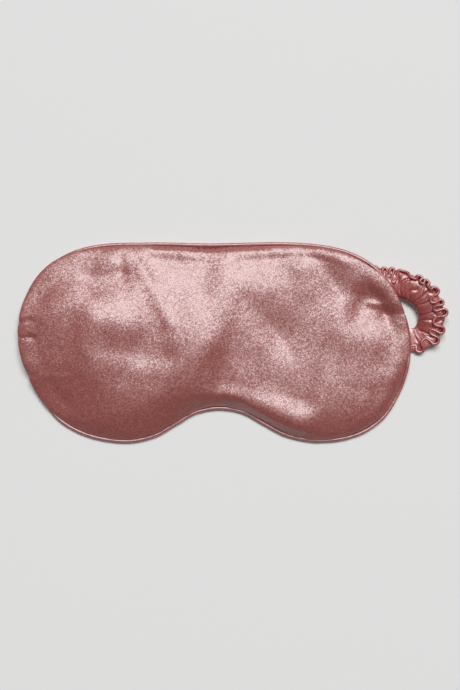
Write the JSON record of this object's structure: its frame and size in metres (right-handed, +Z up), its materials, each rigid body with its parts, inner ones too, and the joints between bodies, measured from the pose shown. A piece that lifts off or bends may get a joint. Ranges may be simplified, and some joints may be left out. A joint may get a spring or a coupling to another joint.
{
  "type": "sleep eye mask",
  "caption": "Padded satin sleep mask with a piped edge and a gathered elastic strap that swings from the side seams.",
  "frame": {"origin": "centre of the whole object's footprint, strap included, on the ground it lies on", "axes": "+X along the mask to the side where the strap loops out, +Y towards the mask's top edge, +Z up out of the mask's face"},
  "size_m": [0.228, 0.1071, 0.0166],
  "materials": {
    "satin_front": "satin weave, dusty rose, lustrous",
    "satin_back": "satin weave, dusty rose",
    "satin_piping": "self-fabric bias piping",
    "piping_core": "twisted cotton cord",
    "wadding": "needled polyester wadding",
    "lining": "black plain weave",
    "thread": "polyester sewing thread",
    "satin_strap": "gathered satin",
    "elastic": "woven elastic"
  },
  "bodies": {
    "mask": {"front_panel": "satin_front", "back_panel": "satin_back", "wadding_pad": "wadding", "blackout_lining": "lining", "piping_cover": "satin_piping", "piping_cord": "piping_core", "seam_thread": "thread", "closing_stitch": "thread"},
    "strap": {"strap_casing": "satin_strap", "strap_elastic": "elastic", "casing_seam_thread": "thread", "bartack_left": "thread", "bartack_right": "thread"}
  },
  "joints": [
    {"name": "strap_swing", "type": "hinge", "parent": "mask", "child": "strap", "pos_m": [-0.009, -0.0062, 0.00135], "axis": [-1, 0, 0], "range_deg": [0, 165]}
  ]
}
